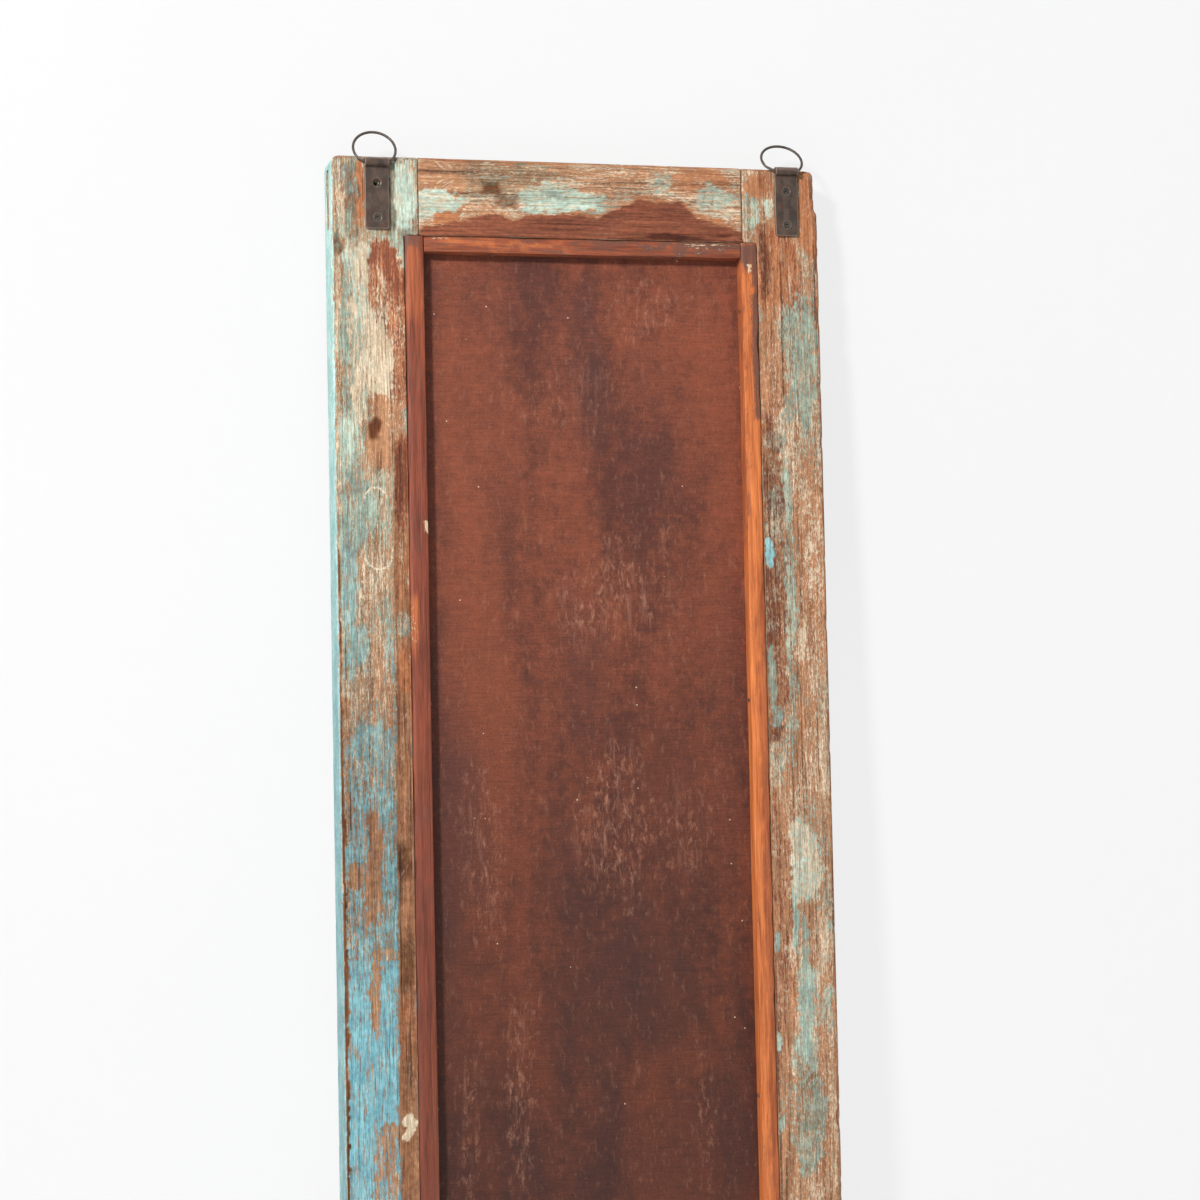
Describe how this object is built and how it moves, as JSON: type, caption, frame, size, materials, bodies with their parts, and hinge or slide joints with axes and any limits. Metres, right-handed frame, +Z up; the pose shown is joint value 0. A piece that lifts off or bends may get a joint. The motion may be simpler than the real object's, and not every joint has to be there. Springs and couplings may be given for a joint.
{
  "type": "shutter mirror",
  "caption": "Tall mirror in a weathered wooden shutter frame, backed by a panel held in with beads, with swinging ring hangers on steel straps at the top of its back.",
  "frame": {"origin": "middle of the frame's bottom edge, midway through the frame's thickness", "axes": "+Z up along the stiles, -Y out of the mirror's front, +Y out of the back, +X to the right as seen from the front"},
  "size_m": [0.4, 0.0432, 1.2214],
  "materials": {
    "painted_frame": "old wood with worn, chipped turquoise paint",
    "peg_wood": "bare, worn",
    "bead_wood": "red-brown stain, worn to orange wood",
    "bead_pins": "dull",
    "backing_ply": "dark red-brown stain, scuffed",
    "mirror_glass": "silvered glass",
    "strap_steel": "dark, slightly rusty",
    "screw_steel": "dark",
    "ring_steel": "drawn wire, slightly tarnished"
  },
  "bodies": {
    "frame": {"stile_right": "painted_frame", "stile_left": "painted_frame", "rail_top": "painted_frame", "rail_bottom": "painted_frame", "peg_top_right_inner": "peg_wood", "peg_top_right_outer": "peg_wood", "peg_top_left_inner": "peg_wood", "peg_top_left_outer": "peg_wood", "peg_bottom_right_inner": "peg_wood", "peg_bottom_right_outer": "peg_wood", "peg_bottom_left_inner": "peg_wood", "peg_bottom_left_outer": "peg_wood", "bead_right": "bead_wood", "bead_left": "bead_wood", "bead_top": "bead_wood", "bead_bottom": "bead_wood", "bead_pin_right_1": "bead_pins", "bead_pin_right_2": "bead_pins", "bead_pin_right_3": "bead_pins", "bead_pin_right_4": "bead_pins", "bead_pin_left_1": "bead_pins", "bead_pin_left_2": "bead_pins", "bead_pin_left_3": "bead_pins", "bead_pin_left_4": "bead_pins", "bead_pin_top_1": "bead_pins", "bead_pin_top_2": "bead_pins", "bead_pin_bottom_1": "bead_pins", "bead_pin_bottom_2": "bead_pins", "back_panel": "backing_ply", "mirror_plate": "mirror_glass", "hanger_strap_right": "strap_steel", "hanger_strap_left": "strap_steel", "hanger_screw_right_lower": "screw_steel", "hanger_screw_left_upper": "screw_steel", "hanger_screw_left_lower": "screw_steel"},
    "ring_right": {"hanger_ring_right": "ring_steel"},
    "ring_left": {"hanger_ring_left": "ring_steel"}
  },
  "joints": [
    {"name": "ring_right_swing", "type": "hinge", "parent": "frame", "child": "ring_right", "pos_m": [0.1635, 0.02175, 1.1936], "axis": [-1, 0, 0], "range_deg": [0, 207]},
    {"name": "ring_left_swing", "type": "hinge", "parent": "frame", "child": "ring_left", "pos_m": [-0.1725, 0.02175, 1.1953], "axis": [-1, 0, 0], "range_deg": [0, 216]}
  ]
}
